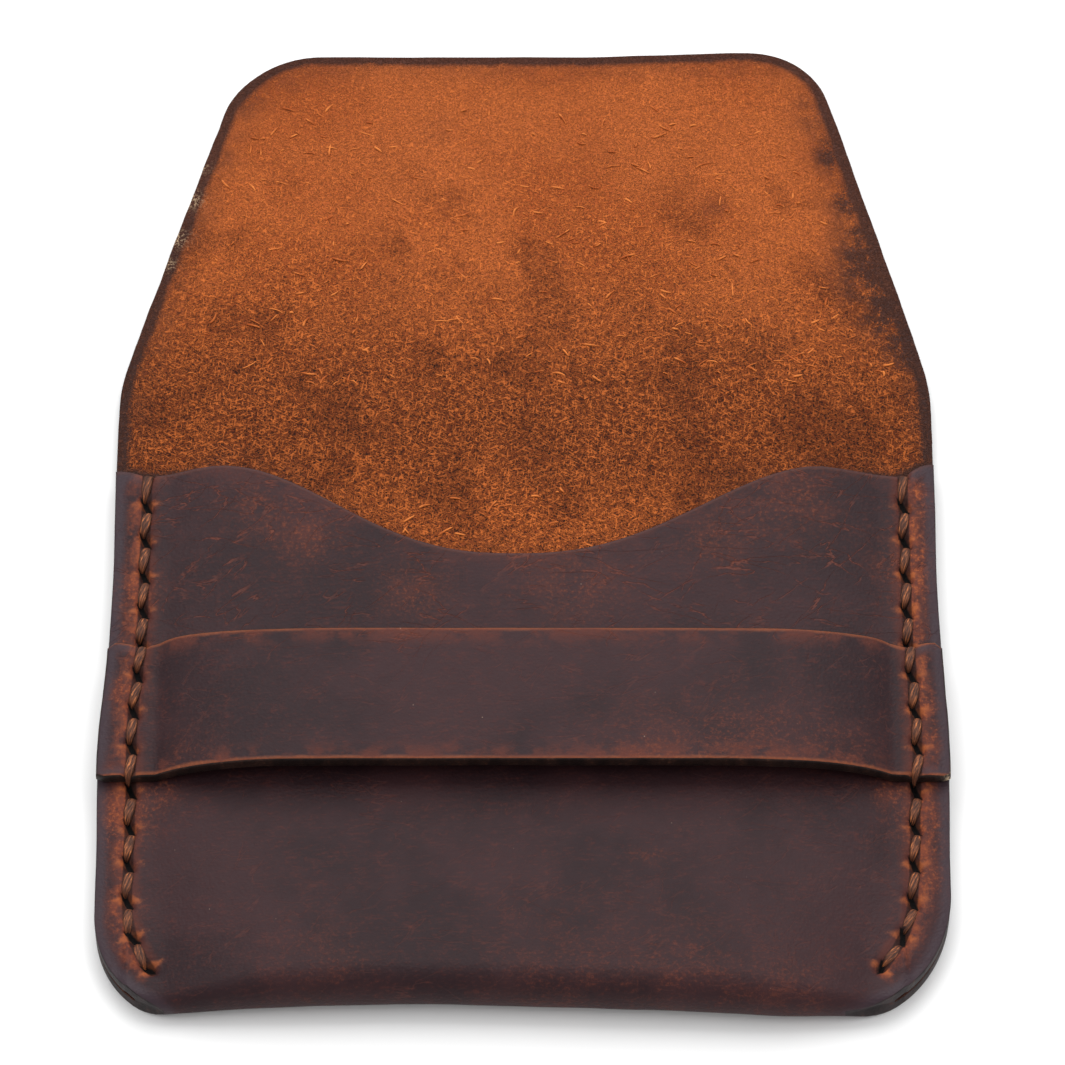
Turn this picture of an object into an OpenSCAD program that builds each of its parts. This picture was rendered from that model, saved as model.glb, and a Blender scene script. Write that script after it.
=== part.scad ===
// Flap card wallet: one cut of leather folded into a pocket, a tuck strap across its
// front and a saddle-stitched seam down each side. It lies open on its back.
// +X runs across the wallet, +Y from the bottom fold to the flap, +Z up.
// The origin is the middle of the pocket's back face, which the wallet rests on.

/* [Pocket] */
// Width across the pocket, edge to edge
body_w = 102; // [94:1:124]
// Height of the pocket, from the bottom fold to the mouth
body_h = 76; // [70:1:94]
// Thickness of the leather
leather_t = 1.8; // [1.4:0.1:2.2]
// Width of the sewn margin down each side
seam_w = 7; // [6.5:0.5:9]
// Clear height inside the pocket at the bottom fold
fold_gap = 3.2; // [2.6:0.1:4]
// Clear height inside the pocket from the strap to the mouth
pocket_gap = 1.4; // [1:0.1:2]
// Length over which the pocket thins from the fold to its flat part
swell_len = 25; // [18:1:28]
// Radius of the bottom corners across the wallet
corner_rx = 13; // [10:1:16]
// Radius of the bottom corners along the wallet
corner_ry = 16; // [13:1:20]

/* [Mouth] */
// Depth of the thumb notch in the front panel
notch_d = 13.2; // [8:0.1:18]
// Distance of the notch's crests from the middle
notch_half = 38; // [30:1:43]
// How much squarer than a cosine wave the notch is
notch_square = 1.25; // [1:0.05:1.5]
// Drop of the front panel's edge at the side seams
lip_drop = 1.2; // [1.1:0.1:2]

/* [Flap] */
// Reach of the flap beyond the mouth
flap_len = 64.5; // [52:0.5:80]
// Full-width length of the flap before it tapers
flap_straight = 13.5; // [11:0.5:18]
// Taper of each side of the flap, in degrees
flap_taper = 14.7; // [8:0.1:20]
// Radius where the taper starts
taper_r = 25; // [15:1:40]
// Radius of the flap's tip corners
tip_r = 12; // [8:1:16]
// Gap between the closed flap and the strap
flap_clear = 0.7; // [0.4:0.1:2]
// Distance from the mouth to the line where the flap starts to fold
mouth_clear = 1; // [0.9:0.1:2]

/* [Strap] */
// Gap under the middle of the strap, for the tip of the flap
strap_gap = 2.2; // [1.9:0.1:3]
// Overhang of the strap beyond the side edges
strap_over = 0.3; // [0:0.1:0.5]
// Stitch holes above the strap, counted from the mouth
strap_first = 5; // [4:1:6]
// Stitch lengths that the strap's width takes up
strap_pitches = 4; // [3:1:4]
// Distance from the strap's edge to the next stitch hole
strap_edge = 0.95; // [0.9:0.05:1.1]

/* [Stitching] */
// Distance of the stitch line from the side edge
stitch_in = 4; // [3.5:0.1:4.2]
// Distance between stitch holes, before it is evened out along the seam
stitch_size = 5.1; // [4.6:0.1:5.4]
// Distance of the top hole below the mouth
stitch_top = 0.2; // [0.1:0.05:0.3]
// Turn of the stitch line round the bottom corner, in degrees
stitch_turn = 40.5; // [36:0.5:44]
// Width of the flattened thread
thread_w = 1; // [0.8:0.05:1.1]
// Thickness of the flattened thread
thread_t = 0.5; // [0.4:0.05:0.6]
// Clearance round the thread in its holes and grooves
thread_clear = 0.1; // [0.1:0.05:0.2]

/* [Hidden] */
far = 1;                                            // how far a cut runs past what it cuts
arch_n = 28;                                        // steps across an arch
arc_n = 12;                                         // steps round an arc
notch_n = 40;                                       // steps along the notch
arch_power = 6;                                     // how flat an arch is in its middle
half_w = body_w / 2;
y_bottom = -body_h / 2;
y_mouth = body_h / 2;
lip_z = 2 * leather_t;                              // two layers, sewn face to face
arch_half = half_w - seam_w;                        // the layers part inside this line
fold_r = (2 * leather_t + fold_gap) / 2;
strap_top_z = lip_z + pocket_gap + strap_gap + leather_t;
hinge_z = leather_t;                                // the leather folds on its inner face
crease_y = y_mouth + mouth_clear;
crease_len = strap_top_z + flap_clear - leather_t;  // puts the closed flap over the strap
flap_y = crease_y + crease_len;
tip_y = y_mouth + flap_len;
taper_y = y_mouth + flap_straight;
stitch_x = half_w - stitch_in;
turn_r = corner_ry - 1;                             // the stitch line's curve at the corner
least_turn = 2.5;                                   // a hole that is turned less stays in line
seam_len = body_h - stitch_top - turn_r + turn_r * stitch_turn * PI / 180;
stitch_n = round(seam_len / stitch_size) + 1;
stitch_pitch = seam_len / (stitch_n - 1);
pass_r = thread_w / 2 + 0.05;                       // a little over the flattened thread
hole_r = pass_r + thread_clear;
groove_w = thread_w + 2 * thread_clear;
groove_d = thread_t + thread_clear;
thread_floor = groove_d - thread_t;                 // the back stitches end above the rest face
strap_top = y_mouth - stitch_top - strap_first * stitch_pitch - strap_edge;
strap_bottom = strap_top + 2 * strap_edge - strap_pitches * stitch_pitch;

function arc(cx, cy, rx, ry, from, to) =
    [for (i = [0:arc_n]) let (a = from + (to - from) * i / arc_n) [cx + rx * cos(a), cy + ry * sin(a)]];
function mirrored(points) = [for (i = [len(points) - 1:-1:0]) [-points[i][0], points[i][1]]];
// Arches across the wallet: the pocket's own, and the strap's over the pocket's flat part
function arch_x(i) = arch_half * sin(90 * (2 * i / arch_n - 1));
function arch(rise, i) = rise * (1 - pow(abs(arch_x(i)) / arch_half, arch_power));
pocket_arch = [for (i = [0:arch_n]) arch(fold_gap + far, i)];
strap_arch = [for (i = [0:arch_n]) min(pocket_gap, pocket_arch[i]) + arch(strap_gap, i)];

// Height of the front panel's top edge at x
function notch_dip(x) = notch_d * (1 + cos(180 * pow(abs(x) / notch_half, notch_square))) / 2;
function lip_dip(x) = lip_drop * (1 - cos(180 * (abs(x) - notch_half) / (half_w - notch_half))) / 2;
function front_edge(x) = y_mouth - (abs(x) < notch_half ? notch_dip(x) : lip_dip(x));

// Centre of stitch hole k, counted down from the mouth
function seam_s(k) = stitch_top + k * stitch_pitch;
function turn_at(k) = (seam_s(k) - (body_h - turn_r)) / turn_r * 180 / PI;
function turn_a(k) = turn_at(k) < least_turn ? 0 : turn_at(k);
function hole_x(k) = stitch_x - turn_r * (1 - cos(turn_a(k)));
function hole_y(k) = turn_a(k) > 0 ? y_bottom + turn_r * (1 - sin(turn_a(k))) : y_mouth - seam_s(k);
function in_strap(k) = hole_y(k) < strap_top && hole_y(k) > strap_bottom;
function seat_z(k) = in_strap(k) ? lip_z + leather_t : lip_z;
function run_z(k) = max(seat_z(k), seat_z(k + 1));

// Outline of the pocket seen from above, drawn in by side and bottom margins
module pocket_outline(side, bottom, top_y) {
    right = concat(
        arc(half_w - corner_rx, y_bottom + corner_ry, corner_rx - side, corner_ry - bottom, -90, 0),
        [[half_w - side, top_y]]);
    polygon(concat(right, mirrored(right)));
}

// Section along the pocket: the round bottom fold, the swell above it and the flat part
module fold_section(wall, top_y) {
    fold = arc(y_bottom + fold_r, fold_r, fold_r - wall, fold_r - wall, 270, 90);
    polygon(concat(fold, [
        [y_bottom + swell_len, lip_z + pocket_gap - wall],
        [top_y, lip_z + pocket_gap - wall],
        [top_y, wall]]));
}

// Section across an arch between the seams, with flat lips out to the given reach
module arch_section(low, high, heights, reach) {
    top = [for (i = [0:arch_n]) [arch_x(i), high + heights[i]]];
    polygon(concat([[-reach, low], [-reach, high]], top, [[reach, high], [reach, low]]));
}

module along_x(width) {
    translate([-width / 2, 0, 0]) rotate([90, 0, 90]) linear_extrude(width) children();
}

module along_y(from, to) {
    translate([0, to, 0]) rotate([90, 0, 0]) linear_extrude(to - from) children();
}

module pocket_shell() {
    intersection() {
        along_x(body_w) fold_section(0, crease_y);
        along_y(y_bottom, crease_y) arch_section(0, lip_z, pocket_arch, half_w);
        linear_extrude(lip_z + fold_gap + far) pocket_outline(0, 0, crease_y);
    }
}

module pocket_cavity() {
    intersection() {
        along_x(body_w) fold_section(leather_t, crease_y + far);
        along_y(y_bottom, crease_y + far)
            arch_section(leather_t, leather_t, pocket_arch, arch_half);
        linear_extrude(lip_z + fold_gap + far) pocket_outline(seam_w, leather_t, crease_y + far);
    }
}

// Everything above the front panel's top edge, down to the back panel
module mouth_cut() {
    half = half_w + far;
    edge = [for (i = [0:notch_n]) let (x = half_w * (2 * i / notch_n - 1)) [x, front_edge(x)]];
    ends = [[half, front_edge(half_w)], [half, crease_y + far], [-half, crease_y + far],
        [-half, front_edge(half_w)]];
    translate([0, 0, leather_t]) linear_extrude(lip_z + fold_gap) polygon(concat(edge, ends));
}

// A bar of the stitch line, from hole k to the next
module seam_bar(k, width, z_from, z_to) {
    dx = hole_x(k + 1) - hole_x(k);
    dy = hole_y(k + 1) - hole_y(k);
    translate([hole_x(k), hole_y(k), z_from]) rotate([0, 0, atan2(dy, dx)])
        translate([0, -width / 2, 0]) cube([norm([dx, dy]), width, z_to - z_from]);
}

module stitch_holes(z_from, z_to) {
    for (side = [0, 1]) mirror([side, 0, 0])
        for (k = [0:stitch_n - 1])
            translate([hole_x(k), hole_y(k), z_from]) cylinder(r = hole_r, h = z_to - z_from, $fn = 24);
}

// The grooves that the stitches pull into the back face, and into the swell at the corners
module stitch_grooves() {
    for (side = [0, 1]) mirror([side, 0, 0])
        for (k = [0:stitch_n - 2]) {
            seam_bar(k, groove_w, -far, groove_d);
            seam_bar(k, groove_w, lip_z, lip_z + fold_gap + far);
        }
}

module body_leather() {
    color("#4b3638") difference() {
        pocket_shell();
        pocket_cavity();
        mouth_cut();
        stitch_holes(-far, lip_z + fold_gap + far);
        stitch_grooves();
    }
}

module flap_crease() {
    color("#a2582d") translate([-half_w, crease_y, 0]) cube([body_w, crease_len, leather_t]);
}

module flap() {
    bend_x = half_w - taper_r;
    bend_y = taper_y - taper_r * tan(flap_taper / 2);
    tip_x = half_w - tip_r / cos(flap_taper) - (tip_y - tip_r - taper_y) * tan(flap_taper);
    right = concat(
        [[half_w, flap_y]],
        arc(bend_x, bend_y, taper_r, taper_r, 0, flap_taper),
        arc(tip_x, tip_y - tip_r, tip_r, tip_r, flap_taper, 90));
    color("#b4622f") linear_extrude(leather_t) polygon(concat(right, mirrored(right)));
}

module tuck_strap() {
    reach = half_w + strap_over;
    color("#513a3c") difference() {
        along_y(strap_bottom, strap_top) arch_section(lip_z, lip_z + leather_t, strap_arch, reach);
        along_y(strap_bottom - far, strap_top + far)
            arch_section(lip_z - far, lip_z, strap_arch, arch_half);
        stitch_holes(lip_z, lip_z + leather_t + far);
    }
}

// One seam's thread: a stitch on the front and the back between each pair of holes
module seam_thread() {
    color("#7a4a34") {
        for (k = [0:stitch_n - 1]) {
            top = max(run_z(max(0, k - 1)), run_z(min(k, stitch_n - 2)));
            translate([hole_x(k), hole_y(k), thread_floor])
                cylinder(r = pass_r, h = top + thread_t - thread_floor, $fn = 24);
        }
        for (k = [0:stitch_n - 2]) {
            seam_bar(k, thread_w, run_z(k), run_z(k) + thread_t);
            seam_bar(k, thread_w, thread_floor, groove_d);
        }
    }
}

module thread_right() { seam_thread(); }
module thread_left() { mirror([1, 0, 0]) seam_thread(); }

body_leather();
flap_crease();
flap();
tuck_strap();
thread_left();
thread_right();
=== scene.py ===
import math
import random

import bmesh
import bpy
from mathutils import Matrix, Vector, kdtree, noise


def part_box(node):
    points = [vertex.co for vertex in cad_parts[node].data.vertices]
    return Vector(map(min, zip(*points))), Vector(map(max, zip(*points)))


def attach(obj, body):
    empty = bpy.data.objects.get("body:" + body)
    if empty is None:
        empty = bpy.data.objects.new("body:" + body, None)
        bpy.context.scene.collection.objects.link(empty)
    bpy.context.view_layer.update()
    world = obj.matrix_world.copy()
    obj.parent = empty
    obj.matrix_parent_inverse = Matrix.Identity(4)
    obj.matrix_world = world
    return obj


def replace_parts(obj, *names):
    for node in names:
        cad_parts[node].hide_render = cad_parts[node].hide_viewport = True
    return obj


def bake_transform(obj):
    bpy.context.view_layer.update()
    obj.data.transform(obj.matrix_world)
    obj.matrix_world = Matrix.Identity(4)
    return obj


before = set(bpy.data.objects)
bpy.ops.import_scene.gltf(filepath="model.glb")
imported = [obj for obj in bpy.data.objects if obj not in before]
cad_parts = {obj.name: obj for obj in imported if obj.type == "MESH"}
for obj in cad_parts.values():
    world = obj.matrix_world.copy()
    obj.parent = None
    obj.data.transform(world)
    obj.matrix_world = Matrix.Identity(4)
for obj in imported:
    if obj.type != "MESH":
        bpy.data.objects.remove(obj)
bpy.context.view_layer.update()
random.seed(11)
mm = 0.001

bodyLow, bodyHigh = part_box("body_leather")
creaseLow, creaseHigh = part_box("flap_crease")
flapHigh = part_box("flap")[1]
strapLow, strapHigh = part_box("tuck_strap")
thick = creaseHigh.z
lipZ = 2 * thick
halfWidth = bodyHigh.x
bottomY = bodyLow.y
mouthY = -bottomY
meetY = (creaseLow.y + creaseHigh.y) / 2  # the two leather pieces meet inside the crease


def smooth(low, high, x):
    t = min(1, max(0, (x - low) / (high - low)))
    return t * t * (3 - 2 * t)


def mixed(a, b, t):
    return a + (b - a) * t


def bell(x, width):
    return math.exp(-(x / width) ** 2)


def ripple(x, y, size, seed=0.0):  # smooth noise from about -1 to 1, with features of that size
    return noise.noise(Vector((x / size, y / size, seed)))


def waves(x, y, layers):  # ripples of several heights and sizes, summed
    return sum(height * ripple(x, y, size, seed) for height, size, seed in layers)


def between(low, high, count):
    return [low + (high - low) * i / count for i in range(count + 1)]


stage = {
    "cameraAt": (0.93 * mm, -421.8 * mm, 724.4 * mm),
    "pitch": 32.0,
    "lens": 231.9,
    "sensor": 36,
    "clipStart": 0.01,
    "floorSize": 4.0,
    "floorColour": (0.93, 0.93, 0.93, 1),
    "world": 0.62,
    "lamps": [  # place, aim, size, watts
        ((0, 0.75, 1.05), (0, 0.02, 0), 1.1, 13.0),
        ((-0.9, -0.1, 1.1), (0, 0, 0), 0.9, 3.4),
        ((0.9, -0.1, 1.1), (0, 0, 0), 0.9, 3.4),
    ],
}


def buildStage():
    scene = bpy.context.scene
    scene.view_settings.view_transform = "Standard"
    camera = bpy.data.objects.new("camera", bpy.data.cameras.new("camera"))
    camera.data.lens = stage["lens"]
    camera.data.sensor_width = stage["sensor"]
    camera.data.clip_start = stage["clipStart"]
    camera.location = stage["cameraAt"]
    camera.rotation_euler = (math.radians(stage["pitch"]), 0, 0)
    scene.collection.objects.link(camera)
    scene.camera = camera

    for i, (place, aim, size, watts) in enumerate(stage["lamps"]):
        lamp = bpy.data.objects.new(f"lamp{i}", bpy.data.lights.new(f"lamp{i}", "AREA"))
        lamp.data.shape = "SQUARE"
        lamp.data.size = size
        lamp.data.energy = watts
        lamp.location = place
        lamp.rotation_euler = (Vector(aim) - Vector(place)).to_track_quat("-Z", "Y").to_euler()
        scene.collection.objects.link(lamp)

    world = bpy.data.worlds.new("softbox")
    world.use_nodes = True
    background = world.node_tree.nodes["Background"]
    background.inputs["Color"].default_value = (1, 1, 1, 1)
    background.inputs["Strength"].default_value = stage["world"]
    scene.world = world

    bm = bmesh.new()
    bmesh.ops.create_grid(bm, x_segments=1, y_segments=1, size=stage["floorSize"] / 2)
    mesh = bpy.data.meshes.new("floor")
    bm.to_mesh(mesh)
    bm.free()
    floor = bpy.data.objects.new("floor", mesh)
    scene.collection.objects.link(floor)
    white = bpy.data.materials.new("whiteFloor")
    white.use_nodes = True
    shader = white.node_tree.nodes["Principled BSDF"]
    shader.inputs["Base Color"].default_value = stage["floorColour"]
    shader.inputs["Roughness"].default_value = 0.9
    shader.inputs["Specular IOR Level"].default_value = 0.1
    mesh.materials.append(white)


def tone(red, green, blue):  # a display colour as the linear one that a shader takes
    return tuple(((c / 255 + 0.055) / 1.055) ** 2.4 for c in (red, green, blue)) + (1,)


class Wire:  # a shader socket that takes part in sums
    def __init__(self, paint, socket):
        self.paint = paint
        self.socket = socket

    def sum(self, operation, first, second=0.5):
        return self.paint.node("ShaderNodeMath", {"operation": operation}, {0: first, 1: second})

    def __add__(self, other):
        return self.sum("ADD", self, other)

    def __sub__(self, other):
        return self.sum("SUBTRACT", self, other)

    def __rsub__(self, other):
        return self.sum("SUBTRACT", other, self)

    def __mul__(self, other):
        return self.sum("MULTIPLY", self, other)

    def __truediv__(self, other):
        return self.sum("DIVIDE", self, other)

    def __abs__(self):
        return self.sum("ABSOLUTE", self)

    def top(self, other):
        return self.sum("MAXIMUM", self, other)

    def least(self, other):
        return self.sum("MINIMUM", self, other)

    __radd__ = __add__
    __rmul__ = __mul__


class Paint:  # one material's node tree
    def __init__(self, name):
        self.material = bpy.data.materials.new(name)
        self.material.use_nodes = True
        self.tree = self.material.node_tree
        self.tree.nodes.clear()
        self.place = self.node("ShaderNodeTexCoord", output="Object")

    def node(self, kind, settings=None, sockets=None, output=0):
        made = self.tree.nodes.new(kind)
        for name, value in (settings or {}).items():
            setattr(made, name, value)
        for name, value in (sockets or {}).items():
            if isinstance(value, Wire):
                self.tree.links.new(value.socket, made.inputs[name])
            else:
                made.inputs[name].default_value = value
        return Wire(self, made.outputs[output])

    def grain(self, size, detail=2.0, rough=0.5, seed=0.0, stretch=(1, 1, 1), turn=0.0, place=None):
        moved = self.node("ShaderNodeMapping", {"vector_type": "TEXTURE"}, {
            "Vector": place or self.place, "Location": (seed, seed * 0.7, 0), "Scale": stretch,
            "Rotation": (0, 0, turn)})
        return self.node("ShaderNodeTexNoise", {}, {
            "Vector": moved, "Scale": 1 / size, "Detail": detail, "Roughness": rough})

    def cells(self, size):
        return self.node("ShaderNodeTexVoronoi", {}, {
            "Vector": self.place, "Scale": 1 / size}, "Distance")

    def ease(self, low, high, value):  # 0 below low, 1 above high
        return self.node("ShaderNodeMapRange", {"interpolation_type": "SMOOTHSTEP"}, {
            "Value": value, "From Min": low, "From Max": high})

    def fade(self, low, high, value):  # 1 below low, 0 above high
        return self.node("ShaderNodeMapRange", {"interpolation_type": "SMOOTHSTEP"}, {
            "Value": value, "From Min": low, "From Max": high, "To Min": 1.0, "To Max": 0.0})

    def mix(self, factor, a, b):  # the node's colour sockets come after those for numbers
        return self.node("ShaderNodeMix", {"data_type": "RGBA"}, {0: factor, 6: a, 7: b}, 2)

    def parts(self, vector):
        split = self.node("ShaderNodeSeparateXYZ", {}, {0: vector}).socket.node
        return [Wire(self, split.outputs[i]) for i in range(3)]

    def stored(self, name, output="Fac"):
        return self.node("ShaderNodeAttribute", {"attribute_name": name}, {}, output)

    def bump(self, height, distance):
        return self.node("ShaderNodeBump", {}, {
            "Height": height, "Distance": distance, "Strength": 1.0})

    def finish(self, **sockets):
        shader = self.node("ShaderNodeBsdfPrincipled", {}, {
            name.replace("_", " "): value for name, value in sockets.items()})
        out = self.tree.nodes.new("ShaderNodeOutputMaterial")
        self.tree.links.new(shader.socket, out.inputs["Surface"])
        return self.material


pocket = {
    "cornerX": (10.8 * mm, 13 * mm),  # left, right
    "cornerY": (12.8 * mm, 16 * mm),
    "bow": 1.0 * mm,  # the bottom fold is drawn in between the corners
    "foldGap": 3.2 * mm,
    "flatGap": 1.4 * mm,
    "swell": 25 * mm,
    "archHalf": 44 * mm,
    "notchDepth": 13.2 * mm,
    "notchHalf": 38 * mm,
    "notchSquare": 1.25,
    "lipDrop": 1.0 * mm,
    "lipFrom": (38 * mm, 35 * mm),
    "lipTick": (0.9 * mm, 1.9 * mm),  # the lip's outer corners stand up again, left and right
    "bevelOut": 0.55 * mm,
    "bevelIn": 0.22 * mm,
    "bottomDip": 0.45 * mm,
    "sideWave": 0.10 * mm,
    "sideDip": 0.15 * mm,
    "sideSpread": (0.55 * mm, 0.15 * mm),  # how far the lower part is pressed out, left and right
    "sideBulge": 0.4 * mm,
    "notchShift": 1.2 * mm,
    "lipCorner": 0.5 * mm,
    "foldRoom": 0.12 * mm,
    "edgeRound": 0.42 * mm,
    "waves": ((0.10 * mm, 16 * mm, 1), (0.04 * mm, 5 * mm, 2)),  # height, size, seed
    "foldDent": 0.10 * mm,
    "flatRows": 140,
    "foldRows": 14,
    "frontAbove": 2.5 * mm,  # only the front panel is higher than this
}
seam = {
    "fromEdge": 4 * mm,
    "top": 0.2 * mm,
    "pitch": 5.1 * mm,
    "holes": 15,
    "turnRadius": 15 * mm,
    "turn": 40.5,
    "swayLeft": (0.7 * mm, 0.5 * mm),
    "swayRight": (0.6 * mm, 1.0 * mm),
    "pullPast": 2.5 * mm,  # how far past its ends the thread still draws the leather in
    "pullAbove": 3 * mm,
    "slant": 0.42,
    "slitLength": 2.5 * mm,
    "slitWidth": 0.72 * mm,
    "slitDepth": 0.9 * mm,
    "slitBack": 0.3 * mm,  # how far a slit sinks in at the back
    "backDent": 0.52 * mm,
    "groove": 0.30 * mm,
    "pucker": 0.16 * mm,
    "past": 72 * mm,  # just past the last hole
    "fadeEnd": (71.9 * mm, 72.9 * mm),
    "fadeTop": (-1.6 * mm, -1.0 * mm),
}
columns = {
    "middle": 21,
    "middleTo": 41 * mm,
    "bySeam": [41.8, 42.6, 43.3, 43.9, 44.5, 45, 45.5, 45.9, 46.2, 46.5, 46.8, 47.1, 47.4, 47.7,
               48, 48.3, 48.7, 49.3, 50.1, 51],  # in mm, closer together where the stitches pull
}
stitchX = halfWidth - seam["fromEdge"]
turnX = stitchX - seam["turnRadius"]
turnY = bottomY + seam["turnRadius"]
turnEnd = math.radians(seam["turn"])
seamEnd = (turnX + seam["turnRadius"] * math.cos(turnEnd),
           turnY - seam["turnRadius"] * math.sin(turnEnd))


def seamSway(y, side):  # the stitch line isn't quite straight, nor the same on both sides
    if side < 0:
        upper, lower = seam["swayLeft"]
        return upper * smooth(12 * mm, 0, y) + lower * smooth(-24 * mm, -34 * mm, y)
    upper, lower = seam["swayRight"]
    return upper * bell(y + 2 * mm, 9 * mm) - lower * smooth(-14 * mm, -34 * mm, y)


def seamPlace(x, y):  # distance outside the stitch line, and distance down along it
    x = abs(x) - seamSway(y, 1 if x > 0 else -1)
    if y >= turnY:
        return x - stitchX, mouthY - y
    angle = math.atan2(turnY - y, x - turnX)
    along = mouthY - turnY + seam["turnRadius"] * angle
    if angle <= turnEnd:
        return math.hypot(x - turnX, turnY - y) - seam["turnRadius"], along
    return -math.hypot(x - seamEnd[0], y - seamEnd[1]), along


def seamPoint(out, along, side):  # the other way round
    bend = max(0, along - (mouthY - turnY)) / seam["turnRadius"]
    reach = seam["turnRadius"] + out
    x, y = stitchX + out, mouthY - along
    if bend > 0:
        x, y = turnX + reach * math.cos(bend), turnY - reach * math.sin(bend)
    return Vector((side * (x + seamSway(y, side)), y, 0))


def holeOffset(along):  # signed distance along the seam from the nearest hole
    number = round((along - seam["top"]) / seam["pitch"])
    number = min(seam["holes"] - 1, max(0, number))
    return along - seam["top"] - number * seam["pitch"]


def slit(out, along, side):  # 1 inside an awl slit, 0 away from it
    offset = holeOffset(along)
    across = out - side * seam["slant"] * offset
    return (1 - smooth(0.3, 1.0, abs(across) / seam["slitWidth"])) * \
        (1 - smooth(0.6, 1.1, abs(offset) * 2 / seam["slitLength"]))


def insideSeamEnd(x, y):
    x = abs(x) - seamSway(y, 1 if x > 0 else -1)
    return y >= turnY or math.hypot(x - turnX, turnY - y) < seam["turnRadius"]


def arch(x, y, power=6):  # 1 in the middle, 0 near the seams
    out = seamPlace(x, y)[0]
    return max(0, 1 - max(0, (stitchX + out) / pocket["archHalf"]) ** power)


def pocketHalf(y, side=1):
    cornerX, cornerY = (pocket[key][side > 0] for key in ("cornerX", "cornerY"))
    turn = (bottomY + cornerY - y) / cornerY
    wave = pocket["sideWave"] * ripple(side, y, 9 * mm, 3)
    wave -= pocket["sideDip"] * bell(y - 24 * mm, 9 * mm)
    wave += pocket["sideSpread"][side > 0] * smooth(13 * mm, -9 * mm, y)
    wave += pocket["sideBulge"] * bell(y + 2 * mm, 12 * mm)
    if turn <= 0:
        return halfWidth + wave
    return halfWidth - cornerX * (1 - math.sqrt(max(0, 1 - turn * turn))) + wave


def bottomBow(x):
    return pocket["bow"] * bell(x + 14 * mm, 25 * mm) \
        - pocket["bottomDip"] * bell(x - 30 * mm, 7 * mm)


def frontEdge(x):  # the notched top edge of the front panel
    right = x > 0
    x = abs(x + pocket["notchShift"] * bell(x, 30 * mm))
    angle = math.pi * min(1, x / pocket["notchHalf"]) ** pocket["notchSquare"]
    y = mouthY - pocket["notchDepth"] * (1 + math.cos(angle)) / 2
    corner = pocket["lipCorner"]
    y -= pocket["lipDrop"] * smooth(pocket["lipFrom"][right], stitchX - corner, x)
    return y + pocket["lipTick"][right] * smooth(stitchX - corner, halfWidth - corner, x)


def foldRadius(x):
    return thick + pocket["foldRoom"] + pocket["foldGap"] / 2 * arch(x, bottomY + 2.6 * mm)


def frontHeight(x, y):  # outer face of the front panel, before the stitches pull it in
    radius = foldRadius(x)
    climb = (y - bottomY - radius) / (pocket["swell"] - radius)
    climb = min(1, max(0, climb))
    climb = mixed(climb, smooth(0, 1, climb), 0.6)
    flat = lipZ + pocket["flatGap"] * arch(x, y)
    return mixed(2 * radius, flat, climb)


def seamPull(out, along, side):  # how far thread and awl draw the leather in
    end = mouthY - turnY + seam["turnRadius"] * turnEnd
    if along > end + seam["pullPast"] or along < -seam["pullAbove"]:
        return 0
    offset = holeOffset(along)
    groove = seam["groove"] * bell(out, 0.75 * mm)
    pucker = seam["pucker"] * bell(out, 2.2 * mm) * bell(offset, 1.6 * mm)
    return groove + pucker + seam["slitDepth"] * slit(out, along, side)


def pocketPoint(share, row, depth):  # share is -1 to 1 across, depth is 0 on the grain side
    part, f = row
    x = share * halfWidth
    y = 0
    for _ in range(5):
        radius = foldRadius(x)
        start = bottomY + radius + bottomBow(x)
        if part == "back":
            y = mixed(meetY, start, f)
        elif part == "fold":
            y = start - (radius - depth) * math.sin(math.pi * f)
        else:
            y = mixed(start, frontEdge(x), f)
        x = share * pocketHalf(y, share)
    out, along = seamPlace(x, y)
    side = 1 if share > 0 else -1
    edge = pocketHalf(y, share) - abs(x)
    wave = waves(x, y, pocket["waves"])
    inside = smooth(2.5 * mm, 9 * mm, -out)
    if part == "back":
        if depth:
            return Vector((x, y, depth + 0.5 * wave * inside))
        z = seam["backDent"] * bell(out, 0.7 * mm) * smooth(-2 * mm, 0, mouthY - y)
        if along < seam["past"]:
            z += seam["slitBack"] * slit(out, along, side)
        return Vector((x, y, z))
    if part == "fold":
        reach = radius - depth
        if not depth:
            reach += pocket["foldDent"] * ripple(x, f * 9 * mm, 7 * mm, 5) * inside
        return Vector((x, start - reach * math.sin(math.pi * f),
                       radius - reach * math.cos(math.pi * f)))
    z = frontHeight(x, y)
    if depth:
        return Vector((x, y, z - depth))
    z += wave * inside
    z -= seamPull(out, along, side) * smooth(0, 3 * mm, y - start)
    z -= pocket["edgeRound"] * smooth(3.4 * mm, 0, edge) * smooth(0, 4 * mm, y - start)
    return Vector((x, y, z))


def denseColumns():
    middle = between(0, columns["middleTo"], columns["middle"])
    right = [x / halfWidth for x in middle[1:]] + [x * mm / halfWidth for x in columns["bySeam"]]
    return [-x for x in reversed(right)] + [0] + right


grainSide, fleshSide, rimSide = 0, 1, 2  # each sheet's materials, in this order


def atJoin(part):  # an edge or face where one leather piece carries on as the other
    return all(abs(v.co.y - meetY) < 1e-6 for v in part.verts)


def pieceFrom(bm, name, materials):
    for face in bm.faces:
        face.smooth = True
    mesh = bpy.data.meshes.new(name)
    bm.to_mesh(mesh)
    bm.free()
    for material in materials:
        mesh.materials.append(material)
    piece = bpy.data.objects.new(name, mesh)
    bpy.context.scene.collection.objects.link(piece)
    return piece


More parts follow.
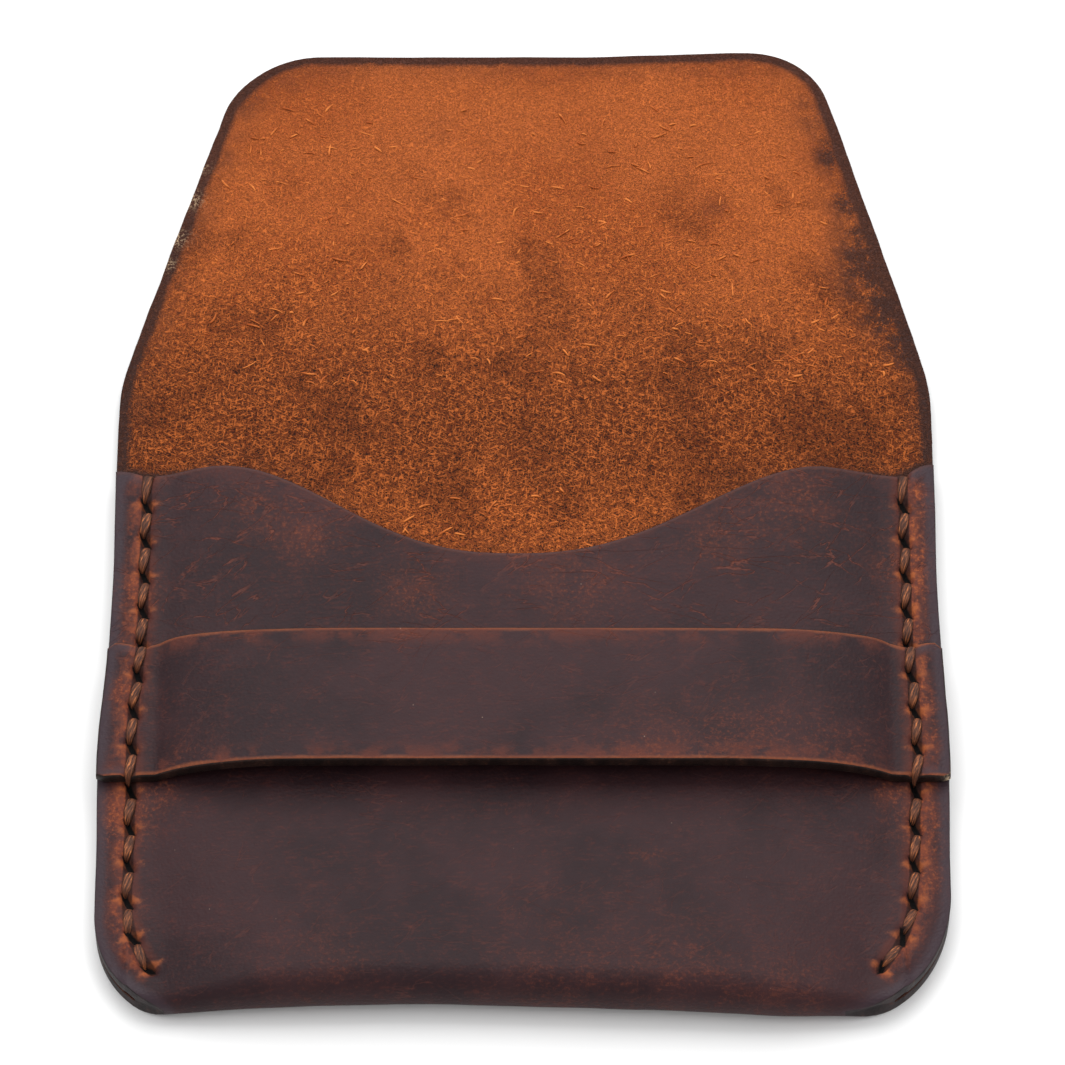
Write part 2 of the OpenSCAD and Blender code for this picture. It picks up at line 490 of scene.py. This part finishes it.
def leatherSheet(name, shares, rows, place, bevels, materials, ridge):
    bm = bmesh.new()
    bmesh.ops.create_grid(bm, x_segments=len(shares) - 1, y_segments=len(rows) - 1, size=0.5)
    column = bm.verts.layers.int.new("column")
    row = bm.verts.layers.int.new("row")
    for v in bm.verts:
        v[column] = round((v.co.x + 0.5) * (len(shares) - 1))
        v[row] = round((v.co.y + 0.5) * (len(rows) - 1))
    made = bmesh.ops.extrude_face_region(bm, geom=bm.faces[:], use_keep_orig=True)
    inner = {g for g in made["geom"] if isinstance(g, bmesh.types.BMVert)}
    for v in bm.verts:
        v.co = place(shares[v[column]], rows[v[row]], thick if v in inner else 0)
    for face in bm.faces:
        count = sum(v in inner for v in face.verts)
        face.material_index = fleshSide if count == len(face.verts) else rimSide if count else grainSide
    bmesh.ops.recalc_face_normals(bm, faces=bm.faces[:])
    rim = [v.co.copy() for v in bm.verts if any(
        f.material_index == rimSide and not atJoin(f) for f in v.link_faces)]
    for edge in bm.edges:
        edge.smooth = not atJoin(edge)
    for size, side in zip(bevels, (grainSide, fleshSide)):
        edges = [e for e in bm.edges if {f.material_index for f in e.link_faces} == {side, rimSide}
                 and not atJoin(e)]
        bmesh.ops.bevel(bm, geom=edges, offset=size, offset_type="OFFSET", affect="EDGES",
                        segments=3, profile=0.5, material=-1, clamp_overlap=True)
    tree = kdtree.KDTree(len(rim))
    for i, point in enumerate(rim):
        tree.insert(point, i)
    tree.balance()
    piece = pieceFrom(bm, name, materials)
    mesh = piece.data
    edge = mesh.attributes.new("edge", "FLOAT", "POINT")
    edge.data.foreach_set("value", [tree.find(v.co)[2] for v in mesh.vertices])
    line = mesh.attributes.new("seam", "FLOAT_VECTOR", "POINT")
    flat = []
    for v in mesh.vertices:
        out, along = seamPlace(v.co.x, v.co.y)
        if not insideSeamEnd(v.co.x, v.co.y):
            out = abs(out)
        flat += [out, along, ridge(v.co)]
    line.data.foreach_set("vector", flat)
    return piece


def spots(piece, name, places):  # soft round patches: x, y, radius, strength
    store = piece.data.attributes.new(name, "FLOAT", "POINT")
    values = []
    for v in piece.data.vertices:
        total = 0
        for x, y, radius, strength in places:
            gap = math.hypot(v.co.x - x * mm, v.co.y - y * mm) / (radius * mm)
            if gap < 2.5:
                total += strength * math.exp(-gap * gap)
        values.append(min(1, total))
    store.data.foreach_set("value", values)


leather = {
    "deep": tone(38, 21, 25),
    "base": tone(51, 29, 32),
    "red": tone(88, 42, 34),
    "line": tone(110, 58, 44),
    "rubbed": tone(110, 54, 37),
    "worn": tone(160, 86, 46),
    # darker burnished edge band, greyed by a painted sheen
    "burnishAndSheen": tone(56, 44, 51),
    "dust": tone(190, 160, 140),
    "shade": tone(22, 12, 11),
    # painted shade for the inside of the awl slits
    "hole": (0.003, 0.002, 0.002, 1),
    "creases": ((6 * mm, 5.3, 0.65, 4.1), (5 * mm, 7.7, -0.3, 8.3),
                (4 * mm, 9.4, 0.95, 2.7), (5 * mm, 3.9, 0.05, 6.6)),  # size, seed, turn, gate's seed
}
nap = {
    "bright": tone(186, 96, 46),
    "mid": tone(166, 80, 35),
    "dark": tone(94, 40, 14),
    "pit": tone(30, 11, 6),
    "fibre": tone(213, 113, 50),
    "burnt": tone(50, 27, 22),
    "cream": tone(206, 176, 140),
}
# burnished cut edges, dark and light: the pocket's and flap's grey tone is partly a painted sheen, the
# strap's darker tone partly painted shade on its lower edge
burnish = {
    "pocket": (tone(26, 19, 20), tone(48, 38, 39)),
    "flap": (tone(28, 19, 21), tone(54, 39, 41)),
    "strap": (tone(22, 12, 10), tone(42, 25, 20)),
    "scuff": tone(108, 68, 52),
}


def seamMasks(paint):  # the awl slits, and where each point lies beside the seam
    out, along, ridge = paint.parts(paint.stored("seam", "Vector"))
    x = paint.parts(paint.place)[0]
    steps = (along - seam["top"]) / seam["pitch"]
    offset = (steps - steps.sum("ROUND", steps)) * seam["pitch"]
    across = abs(out - x.sum("SIGN", x) * offset * seam["slant"])
    ends = paint.fade(*seam["fadeEnd"], along) * paint.ease(*seam["fadeTop"], along)
    hole = paint.fade(0.28 * mm, 0.46 * mm, across) \
        * paint.fade(1.0 * mm, 1.35 * mm, abs(offset)) * ends
    return hole, out, offset, ridge, ends


def grainLeather(name, ridgeWear, awl=1.0):  # awl is 0 for a sheet that isn't sewn
    paint = Paint(name)
    x, y = paint.parts(paint.place)[:2]
    cloud = paint.grain(18 * mm, 4, 0.6, 0.3)
    patch = paint.grain(3.4 * mm, 5, 0.62, 1.1)
    fine = paint.grain(0.5 * mm, 4, 0.7, 2.2)
    brushed = paint.grain(0.35 * mm, 3, 0.6, 6.1, (4, 1, 1), 0.1)
    pores = paint.cells(0.4 * mm)
    edge = paint.stored("edge")
    wear = paint.stored("wear")
    hole, out, offset, ridge, ends = seamMasks(paint)
    ends = ends * awl

    colour = paint.mix(paint.ease(0.36, 0.62, cloud), leather["deep"], leather["base"])
    mottle = paint.ease(0.48, 0.70, fine * 0.4 + brushed * 0.35 + patch * 0.25)
    colour = paint.mix(mottle * 0.5, colour, leather["red"])
    crease = 0
    for size, seed, turn, gate in leather["creases"]:
        contour = paint.grain(size, 5, 0.45, seed, (4.5, 1, 1), turn)
        shown = paint.ease(0.46, 0.62, paint.grain(7 * mm, 3, 0.6, gate))
        crease = paint.fade(0.001, 0.006, abs(contour - 0.5)) * shown + crease
    crease = crease * (0.3 + 0.7 * paint.ease(4 * mm, 16 * mm, y))
    colour = paint.mix((crease * (0.1 + 0.8 * fine)).least(0.7), colour, leather["line"])

    away = abs(out)
    blotch = paint.grain(2.4 * mm, 4, 0.65, 8.8)
    streak = paint.ease(0.38, 0.6, paint.grain(0.7 * mm, 3, 0.6, 4.7, (1, 4, 1)))
    right = 0.55 + 0.45 * paint.ease(-mm, mm, x) * paint.ease(-12 * mm, 6 * mm, y)
    rubOut = paint.ease(0.5 * mm, 0.75 * mm, out) \
        * paint.fade(1.4 * mm, 3.3 * mm, out + (blotch - 0.5) * 6 * mm)
    rubIn = paint.fade(0.6 * mm, 2.0 * mm, away + (patch - 0.5) * 4 * mm)
    fromHole = abs(offset + (blotch - 0.5) * 2.4 * mm)
    flame = paint.fade(0.1 * mm, 0.9 * mm, fromHole + (away - 0.6 * mm) * 0.25) \
        * paint.fade(1.1 * mm, 2.3 * mm, away + (fine - 0.5) * 3.4 * mm) * paint.ease(0.40, 0.54, patch)
    rub = (rubOut * paint.ease(0.4, 0.56, blotch) * (0.5 + streak * 0.5) + rubIn * 0.4) * ends
    flecks = rubOut * paint.ease(0.50, 0.60, fine * 0.45 + blotch * 0.55) * ends * right \
        * (0.3 + streak * 0.7)
    line = paint.fade(0.2 * mm, 0.7 * mm, ridge + (patch - 0.5) * 1.1 * mm)
    soft = paint.fade(0.6 * mm, 3.5 * mm, ridge + (patch - 0.5) * 3 * mm) \
        * paint.ease(0.42, 0.62, patch)
    patches = wear * paint.ease(0.36, 0.62, fine * 0.5 + patch * 0.5)
    broad = (rub * 0.75 + soft * ridgeWear * 0.4 + patches * 0.9).least(1.0)
    colour = paint.mix(broad, colour, leather["rubbed"])
    bright = (line * ridgeWear * (0.25 + 0.5 * fine) + flame * ends * 0.8 + flecks * 0.85
              + patches * paint.ease(0.5, 0.68, fine) * 0.8).least(1.0)
    colour = paint.mix(bright * 0.8, colour, leather["worn"])
    corner = paint.fade(-25 * mm, -21 * mm, y) * paint.ease(36 * mm, 42 * mm, abs(x))
    side = paint.ease(46.5 * mm, 49 * mm, abs(x)).top(corner)
    rim = paint.fade(0.5 * mm, 1.9 * mm, edge + (patch - 0.5) * 0.8 * mm) * side \
        + paint.fade(0.15 * mm, 0.5 * mm, edge) * 0.7 * (1 - side)
    # the rim: a darker burnished band along the edge, its grey tone a painted sheen
    colour = paint.mix(rim * (1 - line * ridgeWear) * 0.8, colour, leather["burnishAndSheen"])
    colour = paint.mix(paint.fade(0.5 * mm, 0.74 * mm, away) * 0.7 * ends, colour, leather["shade"])
    specks = paint.cells(2.6 * mm)
    dust = paint.fade(0.015, 0.04, specks) * paint.ease(0.5, 0.6, cloud)
    colour = paint.mix(dust * 0.5, colour, leather["dust"])
    # painted shade: the awl slits are only dents, so their dark inside is painted near-black
    colour = paint.mix(hole * awl, colour, leather["hole"])

    rough = 0.46 + fine * 0.16 + broad * 0.14 + hole * 0.3 - rim * 0.08
    height = pores * 0.3 + fine * 0.4 + brushed * 0.3 + patch * 0.6 - crease * 0.5
    normal = paint.bump(height, 0.12 * mm)
    return paint.finish(Base_Color=colour, Roughness=rough, Normal=normal,
                        Specular_IOR_Level=0.17)


def suede(name):
    paint = Paint(name)
    y = paint.parts(paint.place)[1]
    cloud = paint.grain(22 * mm, 3, 0.55, 0.9)
    mottle = paint.grain(2.6 * mm, 4, 0.6, 1.7)
    speck = paint.grain(0.29 * mm, 2, 0.72, 2.9)
    clump = paint.grain(0.9 * mm, 3, 0.6, 5.2)
    strokes = 0
    for seed, turn in ((3.3, -0.55), (4.4, 0.35), (5.5, 1.45)):
        stroke = paint.grain(0.22 * mm, 1, 0.5, seed, (5, 1, 1), turn)
        strokes = paint.ease(0.59, 0.68, stroke) + strokes
    curls = 0
    for seed in (6.2, 7.9):
        curls = paint.fade(0.008, 0.045, abs(paint.grain(0.7 * mm, 2, 0.5, seed) - 0.5)) + curls
    hairs = (strokes * 0.75 + curls * 0.6).least(1.0)
    edge = paint.stored("edge")
    stain = paint.stored("stain")
    chip = paint.stored("chip")

    # painted shade: the nap darkens towards the crease, where the real flap curves away from the light
    creaseShade = paint.fade(0.0, 33 * mm, abs(y - meetY - 2 * mm + (cloud - 0.5) * 14 * mm))
    colour = paint.mix(paint.ease(0.38, 0.62, cloud), nap["mid"], nap["bright"])
    colour = paint.mix(creaseShade, colour, nap["dark"])
    shade = paint.ease(0.48, 0.64, paint.grain(9 * mm, 3, 0.55, 3.4)) \
        * paint.fade(30 * mm, 50 * mm, y - meetY)
    colour = paint.mix(shade * 0.5, colour, nap["dark"])
    lively = 0.42 + paint.fade(0, 52 * mm, y - meetY + (cloud - 0.5) * 24 * mm) * 0.58
    colour = paint.mix(paint.ease(0.4, 0.7, mottle) * 0.15, colour, nap["bright"])
    pits = paint.fade(0.415, 0.54, speck * 0.78 + clump * 0.22)
    colour = paint.mix(pits * lively * (0.9 + shade * 0.1), colour, nap["pit"])
    colour = paint.mix(hairs * lively * (1 - creaseShade * 0.38 - shade * 0.28), colour, nap["fibre"])
    ragged = (mottle - 0.5) * 1.8 * mm + (speck - 0.5) * 0.8 * mm
    burn = paint.fade(0.6 * mm, 1.9 * mm, edge + ragged)
    spotty = speck * 0.5 + mottle * 0.5
    singe = paint.fade(1 * mm, 6 * mm, edge + (cloud - 0.5) * 8 * mm) * paint.ease(0.35, 0.6, spotty)
    burn = (burn + singe * 0.4 + stain * paint.ease(0.34, 0.6, spotty)).least(1.0)
    colour = paint.mix(burn * 0.9, colour, nap["burnt"])
    colour = paint.mix(chip * paint.ease(0.5, 0.6, speck), colour, nap["cream"])

    height = speck * 0.8 + hairs * 0.8 + mottle * 0.6
    normal = paint.bump(height, 0.26 * mm)
    return paint.finish(Base_Color=colour, Roughness=0.92 - burn * 0.35, Normal=normal,
                        Specular_IOR_Level=0.2)


def burnishedEdge(name, dark, light):
    paint = Paint(name)
    streak = paint.grain(1.6 * mm, 4, 0.6, 0.4, stretch=(1, 1, 3))
    fine = paint.grain(0.5 * mm, 3, 0.6, 1.4)
    chip = paint.stored("chip")
    colour = paint.mix(paint.ease(0.35, 0.65, streak), dark, light)
    scuff = paint.ease(0.54, 0.72, fine * 0.6 + streak * 0.4)
    colour = paint.mix(scuff * 0.4, colour, burnish["scuff"])
    torn = paint.ease(0.44, 0.52, streak * 0.6 + fine * 0.4)
    colour = paint.mix(chip * torn, colour, nap["cream"])
    normal = paint.bump(streak * 0.6 + fine * 0.6, 0.16 * mm)
    return paint.finish(Base_Color=colour, Roughness=0.45 + fine * 0.25, Normal=normal,
                        Specular_IOR_Level=0.22)


def waxedThread(name):
    paint = Paint(name)
    strand = paint.stored("strand", "Vector")
    side = paint.parts(strand)[1]
    fibre = paint.grain(0.16 * mm, 2, 0.6, 0.5, (9, 1, 1), 0.12, strand)
    cloud = paint.grain(1.6 * mm, 3, 0.6, 3.0)
    colour = paint.mix(paint.ease(0.36, 0.64, fibre), tone(60, 34, 25), tone(120, 70, 45))
    glint = paint.ease(0.55, 0.68, fibre * 0.75 + cloud * 0.25)
    colour = paint.mix(glint, colour, tone(188, 113, 66))
    # painted shade along both flanks of the thread
    colour = paint.mix(paint.ease(0.4 * mm, 0.58 * mm, abs(side)) * 0.7, colour, tone(30, 17, 14))
    normal = paint.bump(fibre, 0.1 * mm)
    return paint.finish(Base_Color=colour, Roughness=0.55 + cloud * 0.15, Normal=normal,
                        Specular_IOR_Level=0.25)


def buildPocket():
    flat = between(0, 1, pocket["flatRows"])
    turn = between(0, 1, pocket["foldRows"])[1:-1]
    rows = [("back", f) for f in flat] + [("fold", f) for f in turn] + [("front", f) for f in flat]
    piece = leatherSheet("pocketLeather", denseColumns(), rows, pocketPoint,
                         (pocket["bevelOut"], pocket["bevelIn"]),
                         [grainLeather("grainPocket", 0.3), suede("suedePocket"),
                          burnishedEdge("edgePocket", *burnish["pocket"])],
                         lambda p: abs(p.y - frontEdge(p.x))
                         if p.z > pocket["frontAbove"] and p.y > 0 else 1)
    spots(piece, "wear", [
        (50, 34, 2.5, 0.8), (-49, 20, 3, 0.7), (-49.5, 12, 2.5, 0.7), (-49, -12, 3.5, 0.9),
        (49, -13, 4, 0.6), (49.5, -20, 3, 0.4), (-49, -25, 3, 0.3), (15, -18, 1.2, 0.4),
        (20, -35, 6, 0.15), (-24, -34, 6, 0.12), (5, -36, 9, 0.12), (32, -36, 5, 0.15),
        (33, 32, 5, 0.35), (-26, 27, 4, 0.35), (-33, 31, 4, 0.3), (-14, 19, 4, 0.3),
        (6, 20, 5, 0.3), (24, 27, 4, 0.3), (44, -8.5, 2, 0.5), (-44, -8.5, 2, 0.4),
        (49.5, 24, 5, 0.6)])
    spots(piece, "stain", [])
    spots(piece, "chip", [])
    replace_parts(piece, "body_leather")
    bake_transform(piece)
    print("pocket leather", len(piece.data.polygons))


flap = {
    "straightTo": 51.5 * mm,
    "taper": math.radians(14.7),
    "taperRadius": 25 * mm,
    "tipRadiusRight": 10.6 * mm,
    "tipRadiusLeft": 12.6 * mm,
    "drawnIn": (1.45 * mm, 0.65 * mm),  # how much narrower the tip is cut, left and right
    "tipRows": 16,
    "rows": 100,
    "columns": 64,
    "columnsTo": 0.97,  # then two closer columns at each edge
    "edgeColumn": 0.985,
    "bevelOut": 0.5 * mm,
    "bevelIn": 0.5 * mm,
    "sideWaves": ((0.14 * mm, 7 * mm, 8), (0.05 * mm, 2 * mm, 9)),
    "waves": ((0.10 * mm, 13 * mm, 6), (0.05 * mm, 4 * mm, 7)),
    "tipSlant": 0.65 * mm,
    "backWave": 0.04 * mm,
}


def flapHalf(y, side):
    slope = math.tan(flap["taper"])
    radius = flap["taperRadius"]
    tip = flap["tipRadiusRight"] if side > 0 else flap["tipRadiusLeft"]
    bendY = flap["straightTo"] - radius * math.tan(flap["taper"] / 2)
    tipY = flapHigh.y - tip
    tipX = halfWidth - tip / math.cos(flap["taper"]) - (tipY - flap["straightTo"]) * slope
    wave = waves(side, y, flap["sideWaves"])
    wave -= flap["drawnIn"][side > 0] * max(0, (y - meetY) / (flapHigh.y - meetY)) ** 1.3
    if y < bendY:
        return halfWidth + wave
    if y < bendY + radius * math.sin(flap["taper"]):
        return halfWidth - radius + math.sqrt(radius ** 2 - (y - bendY) ** 2) + wave
    if y < tipY + tip * math.sin(flap["taper"]):
        return halfWidth - (y - flap["straightTo"]) * slope + wave
    return tipX + math.sqrt(max(0, tip ** 2 - (y - tipY) ** 2)) + wave


def flapPoint(share, row, depth):
    y = row
    x = share * flapHalf(y, 1 if share >= 0 else -1)
    far = smooth(meetY, flapHigh.y, y)
    y += (0.10 * mm * ripple(x, 0, 9 * mm, 4) + flap["tipSlant"] * smooth(8 * mm, 28 * mm, x)) * far
    wave = waves(x, y, flap["waves"])
    lift = smooth(meetY + 4 * mm, meetY + 20 * mm, y)
    if depth:
        return Vector((x, y, depth + wave * lift))
    return Vector((x, y, flap["backWave"] * lift * (1 + ripple(x, y, 8 * mm, 5))))


def buildFlap():
    tip = flap["tipRadiusRight"]
    straight = between(meetY, flapHigh.y - tip, flap["rows"])
    turn = [flapHigh.y - tip + tip * math.sin(a) for a in between(0, math.pi / 2, flap["tipRows"])]
    near = flap["edgeColumn"]
    shares = [-1, -near] + between(-flap["columnsTo"], flap["columnsTo"], flap["columns"]) + [near, 1]
    piece = leatherSheet("flapLeather", shares, straight + turn[1:], flapPoint,
                         (flap["bevelOut"], flap["bevelIn"]),
                         [grainLeather("grainFlap", 0.4, 0.0), suede("suedeFlap"),
                          burnishedEdge("edgeFlap", *burnish["flap"])],
                         lambda p: min(flapHigh.y - p.y, flapHalf(p.y, p.x) - abs(p.x)))
    spots(piece, "wear", [(0, 99, 8, 0.3), (-20, 98, 8, 0.25), (25, 97, 6, 0.3)])
    spots(piece, "stain", [
        (42.5, 73, 4, 1.0), (43.5, 67, 4.5, 1.0), (46, 61, 4, 0.9), (48.5, 56, 3, 0.7),
        (41, 80, 3, 0.9), (39, 87, 3, 0.8), (36.5, 93, 3, 0.6), (24, 79, 1.8, 0.6),
        (-36, 96, 3, 0.5), (-40, 86, 2.5, 0.5), (-43, 76, 2.5, 0.5), (-48, 62, 2.5, 0.6),
        (-11, 91, 2, 0.3), (50, 48, 2.5, 0.5)])
    spots(piece, "chip", [(-42.9, 80, 1.3, 0.9), (-44.6, 74, 1.2, 0.9), (-45.6, 70, 1.0, 0.7),
                          (-41.5, 85, 0.8, 0.7)])
    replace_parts(piece, "flap", "flap_crease")
    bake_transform(piece)
    print("flap leather", len(piece.data.polygons))


strap = {
    "riseTop": 3.1 * mm,
    "riseBottom": 4.0 * mm,
    "power": 7,
    "over": 0.08 * mm,
    "rows": 38,
    "bevelOut": 1.0 * mm,
    "bevelIn": 0.4 * mm,
    "overWide": 0.4 * mm,
    "overTop": 0.65 * mm,
    "seamDip": 0.75 * mm,
    "topCorner": 1.1 * mm,
    "bottomCorner": 0.35 * mm,
    "edgeRound": 0.4 * mm,
    "waves": ((0.08 * mm, 14 * mm, 3), (0.03 * mm, 4 * mm, 4)),
}


def strapTop(x):  # the top edge dips where the seam pulls it in, and its corners are rounded
    edge = halfWidth + strap["overWide"] - abs(x)
    dip = strap["seamDip"] * bell(abs(x) - stitchX + 0.4 * mm, 2.2 * mm)
    corner = strap["topCorner"] * smooth(1.4 * mm, 0, edge) ** 2
    return strapHigh.y + strap["overTop"] - dip - corner


def strapPoint(share, row, depth):
    y = row
    down = (strapHigh.y - y) / (strapHigh.y - strapLow.y)
    half = pocketHalf(y, share) + strap["over"] * down + 0.05 * mm * ripple(share, y, 4 * mm, 9)
    x = share * half
    rise = mixed(strap["riseTop"], strap["riseBottom"], down)
    up = arch(x, 0, strap["power"])
    y = mixed(strapTop(x), strapLow.y, down) + 0.08 * mm * ripple(x, down, 9 * mm, 2)
    edge = half - abs(x)
    y += strap["bottomCorner"] * smooth(1.2 * mm, 0, edge) ** 2 * smooth(0.6, 1, down)
    out, along = seamPlace(x, y)
    z = lipZ + thick + rise * up - depth
    if depth:
        return Vector((x, y, z))
    z += waves(x, y, strap["waves"]) * up
    z -= strap["edgeRound"] * smooth(3.2 * mm, 0, edge)
    z -= seamPull(out, along, 1 if share > 0 else -1)
    return Vector((x, y, z))


def buildStrap():
    rows = between(strapLow.y, strapHigh.y, strap["rows"])
    piece = leatherSheet("tuckStrap", denseColumns(), rows, strapPoint,
                         (strap["bevelOut"], strap["bevelIn"]),
                         [grainLeather("grainStrap", 1.0), suede("suedeStrap"),
                          burnishedEdge("edgeStrap", *burnish["strap"])],
                         lambda p: min(abs(strapTop(p.x) - p.y), abs(p.y - strapLow.y)))
    spots(piece, "wear", [
        (22, -4, 5, 0.2), (30, -3, 5, 0.2), (14, -6, 5, 0.2), (38, -5, 4, 0.2),
        (-40, -5, 3, 0.2), (48.5, 3, 2, 0.7), (-49, 5, 2.5, 0.6), (48.5, -2, 2, 0.6)])
    spots(piece, "stain", [])
    spots(piece, "chip", [(51.7, -6.9, 0.6, 1.0)])
    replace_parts(piece, "tuck_strap")
    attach(piece, "pocket")
    print("tuck strap", len(piece.data.polygons))


thread = {
    "width": 1.24 * mm,
    "thick": 0.56 * mm,
    "backThick": 0.5 * mm,
    "sink": 0.12 * mm,
    "backHeight": 0.38 * mm,
    "drop": 1.5 * mm,
    "reach": 0.7 * mm,
    "overLip": -0.35 * mm,  # the first stitch comes over the lip
    "lean": 0.36 * mm,
    "around": 12,
    "along": 18,
}


def seamTop(along):  # height of the leather under the front stitches
    y = mouthY - along
    lip = frontEdge(stitchX)
    if y > 30 * mm:
        return mixed(lipZ, thick, smooth(lip - 0.35 * mm, lip + 0.3 * mm, y))
    over = smooth(strapHigh.y + 0.45 * mm, strapHigh.y - 0.25 * mm, y) \
        * smooth(strapLow.y - 0.45 * mm, strapLow.y + 0.25 * mm, y)
    return lipZ + thick * over


def buildStitch(bm, store, side, number, front):
    start = seam["top"] + number * seam["pitch"] + thread["reach"]
    end = seam["top"] + (number + 1) * seam["pitch"] - thread["reach"]
    lean = thread["lean"] * side
    if front and number == 0:
        start = thread["overLip"]
    width = thread["width"] * random.uniform(0.92, 1.06)
    sway = random.uniform(-0.06, 0.06) * mm

    def centre(t):
        along = mixed(start, end, t)
        place = seamPoint(mixed(lean, -lean, t) + sway, along, side)
        fall = thread["drop"] * abs(2 * t - 1) ** 4
        if front:
            place.z = seamTop(along) - thread["sink"] - fall
        else:
            place.z = thread["backHeight"] + fall * 0.8
        return place

    made = bmesh.ops.create_uvsphere(bm, u_segments=thread["around"], v_segments=thread["along"],
                                     radius=1)
    for v in made["verts"]:
        t = math.acos(max(-1, min(1, v.co.z))) / math.pi
        angle = math.atan2(v.co.y, v.co.x)
        ahead = (centre(min(1, t + 0.02)) - centre(max(0, t - 0.02))).normalized()
        across = ahead.cross(Vector((0, 0, 1))).normalized()
        up = across.cross(ahead)
        full = max(0, 1 - abs(2 * t - 1) ** 5) ** 0.6
        pinch = 1 - 0.4 * abs(2 * t - 1) ** 2.5
        c, s = math.cos(angle), math.sin(angle)
        tall = thread["thick"] if front else thread["backThick"]
        v[store] = Vector(((number + t) * seam["pitch"], c * width / 2, s * tall / 2))
        v.co = centre(t) + across * math.copysign(abs(c) ** 0.8, c) * width / 2 * full * pinch \
            + up * math.copysign(abs(s) ** 0.8, s) * tall / 2 * full


def buildThread(name, side, material):
    bm = bmesh.new()
    store = bm.verts.layers.float_vector.new("strand")
    for number in range(seam["holes"] - 1):
        buildStitch(bm, store, side, number, True)
        buildStitch(bm, store, side, number, False)
    bmesh.ops.recalc_face_normals(bm, faces=bm.faces[:])
    piece = pieceFrom(bm, name, [material])
    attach(piece, "pocket")
    return piece


def buildThreads():
    material = waxedThread("waxedThread")
    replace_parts(buildThread("threadLeft", -1, material), "thread_left")
    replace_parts(buildThread("threadRight", 1, material), "thread_right")
    print("threads")


fibres = {
    "onFlap": 270,
    "inPocket": 34,
    "length": (0.8 * mm, 2.8 * mm),
    "radius": (0.06 * mm, 0.13 * mm),
    "hump": 0.16 * mm,
    "flat": 1.6,  # how much wider than high
    "headings": (-0.55, -0.45, 0.1, 0.5, 1.4),
    "stray": 0.35,
    "curl": 0.3,
    "fromEdge": 4 * mm,
}


def buildFibre(bm, x, y, surface):
    long = random.uniform(*fibres["length"]) * random.uniform(0.5, 1)
    radius = random.uniform(*fibres["radius"])
    heading = random.choice(fibres["headings"]) + random.gauss(0, fibres["stray"])
    curl = random.gauss(0, fibres["curl"])
    hump = fibres["hump"] * random.uniform(0.3, 1)
    made = bmesh.ops.create_uvsphere(bm, u_segments=4, v_segments=6, radius=1)
    for v in made["verts"]:
        t = math.acos(max(-1, min(1, v.co.z))) / math.pi
        turn = heading + curl * (t - 0.5)
        full = math.sqrt(max(0, 1 - (2 * t - 1) ** 4)) * (1 - 0.4 * t)
        flatX, flatY = v.co.x, v.co.y
        reach = math.hypot(flatX, flatY) or 1
        along = (t - 0.5) * long
        middle = Vector((x + along * math.cos(turn), y + along * math.sin(turn),
                         surface + hump * (1 - (2 * t - 1) ** 2)))
        across = Vector((-math.sin(turn), math.cos(turn), 0))
        v.co = middle + across * radius * fibres["flat"] * full * flatX / reach \
            + Vector((0, 0, radius * full * flatY / reach))


def buildFibres(name, count, low, high, halfAt, body, material):
    bm = bmesh.new()
    for _ in range(count):
        y = mixed(low, high, random.random() ** 1.3)
        half = halfAt(y) - fibres["fromEdge"]
        buildFibre(bm, random.uniform(-half, half), y, thick - 0.03 * mm)
    bmesh.ops.recalc_face_normals(bm, faces=bm.faces[:])
    piece = pieceFrom(bm, name, [material])
    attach(piece, body)


def fibreLeather():
    paint = Paint("fibreLeather")
    tint = paint.grain(1.5 * mm, 2, 0.5, 1.0)
    colour = paint.mix(paint.ease(0.35, 0.65, tint), tone(164, 80, 34), tone(216, 124, 60))
    return paint.finish(Base_Color=colour, Roughness=0.8 + tint * 0.1, Specular_IOR_Level=0.2)


def buildAllFibres():
    material = fibreLeather()
    buildFibres("flapFibres", fibres["onFlap"], meetY + 9 * mm, flapHigh.y - 8 * mm,
                lambda y: flapHalf(y, 1), "flap", material)
    buildFibres("pocketFibres", fibres["inPocket"], 26 * mm, mouthY - 1 * mm,
                lambda y: pocket["archHalf"], "pocket", material)
    print("fibres")


buildStage()
buildPocket()
buildFlap()
buildStrap()
buildThreads()
buildAllFibres()
